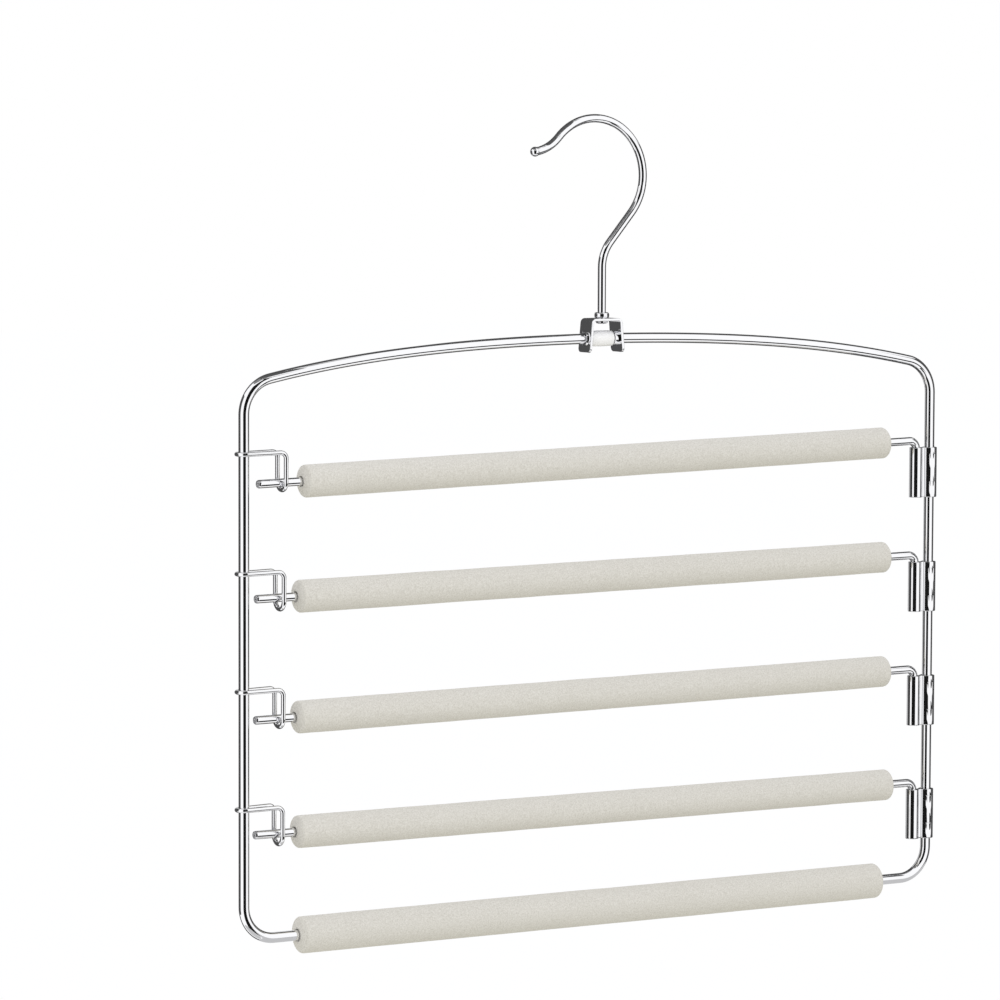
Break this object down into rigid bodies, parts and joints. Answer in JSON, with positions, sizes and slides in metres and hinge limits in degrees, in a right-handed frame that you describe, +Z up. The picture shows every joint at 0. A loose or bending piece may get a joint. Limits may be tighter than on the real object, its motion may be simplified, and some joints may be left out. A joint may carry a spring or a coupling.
{
  "type": "multi-tier trouser hanger",
  "caption": "Chromed wire trouser hanger: a swivel hook on a rocking saddle carries a closed frame with padded arms that lift out of wire catches and swing open on rolled hinge clips.",
  "frame": {"origin": "the inside top of the hook, where it rests on a rail", "axes": "+X along the arms towards their hinges, +Y from the front to the back along the rail, +Z up"},
  "size_m": [0.3986, 0.0176, 0.392],
  "materials": {
    "chrome_wire": "polished",
    "chrome_sheet": "polished",
    "foam": "matte",
    "white_nylon": "satin"
  },
  "bodies": {
    "hook": {"hook": "chrome_wire", "hook_collar": "chrome_wire"},
    "saddle": {"saddle": "chrome_sheet", "saddle_bush": "white_nylon"},
    "frame": {"frame": "chrome_wire", "bottom_sleeve": "foam", "catch_1": "chrome_wire", "catch_2": "chrome_wire", "catch_3": "chrome_wire", "catch_4": "chrome_wire", "hinge_clip_1": "chrome_sheet", "hinge_clip_2": "chrome_sheet", "hinge_clip_3": "chrome_sheet", "hinge_clip_4": "chrome_sheet"},
    "arm_1_pin": {"arm_pin_1": "chrome_wire"},
    "arm_1": {"arm_rod_1": "chrome_wire", "arm_sleeve_1": "foam"},
    "arm_2_pin": {"arm_pin_2": "chrome_wire"},
    "arm_2": {"arm_rod_2": "chrome_wire", "arm_sleeve_2": "foam"},
    "arm_3_pin": {"arm_pin_3": "chrome_wire"},
    "arm_3": {"arm_rod_3": "chrome_wire", "arm_sleeve_3": "foam"},
    "arm_4_pin": {"arm_pin_4": "chrome_wire"},
    "arm_4": {"arm_rod_4": "chrome_wire", "arm_sleeve_4": "foam"}
  },
  "joints": [
    {"name": "hook_swivel", "type": "hinge", "parent": "hook", "child": "saddle", "pos_m": [0.0045, 0, -0.09377], "axis": [0, 0, 1], "continuous": true},
    {"name": "saddle_rock", "type": "hinge", "parent": "saddle", "child": "frame", "pos_m": [0.0045, 0, -0.10347], "axis": [1, 0, 0], "range_deg": [-90, 90]},
    {"name": "arm_1_lift", "type": "slide", "parent": "frame", "child": "arm_1_pin", "axis": [0, 0, 1], "range_m": [0, 0.018]},
    {"name": "arm_1_swing", "type": "hinge", "parent": "arm_1_pin", "child": "arm_1", "pos_m": [0.19134, 0, -0.15877], "axis": [0, 0, 1], "range_deg": [-140, 140]},
    {"name": "arm_2_lift", "type": "slide", "parent": "frame", "child": "arm_2_pin", "axis": [0, 0, 1], "range_m": [0, 0.018]},
    {"name": "arm_2_swing", "type": "hinge", "parent": "arm_2_pin", "child": "arm_2", "pos_m": [0.19134, 0, -0.21627], "axis": [0, 0, 1], "range_deg": [-140, 140]},
    {"name": "arm_3_lift", "type": "slide", "parent": "frame", "child": "arm_3_pin", "axis": [0, 0, 1], "range_m": [0, 0.018]},
    {"name": "arm_3_swing", "type": "hinge", "parent": "arm_3_pin", "child": "arm_3", "pos_m": [0.19134, 0, -0.27377], "axis": [0, 0, 1], "range_deg": [-140, 140]},
    {"name": "arm_4_lift", "type": "slide", "parent": "frame", "child": "arm_4_pin", "axis": [0, 0, 1], "range_m": [0, 0.018]},
    {"name": "arm_4_swing", "type": "hinge", "parent": "arm_4_pin", "child": "arm_4", "pos_m": [0.19134, 0, -0.33127], "axis": [0, 0, 1], "range_deg": [-140, 140]}
  ]
}
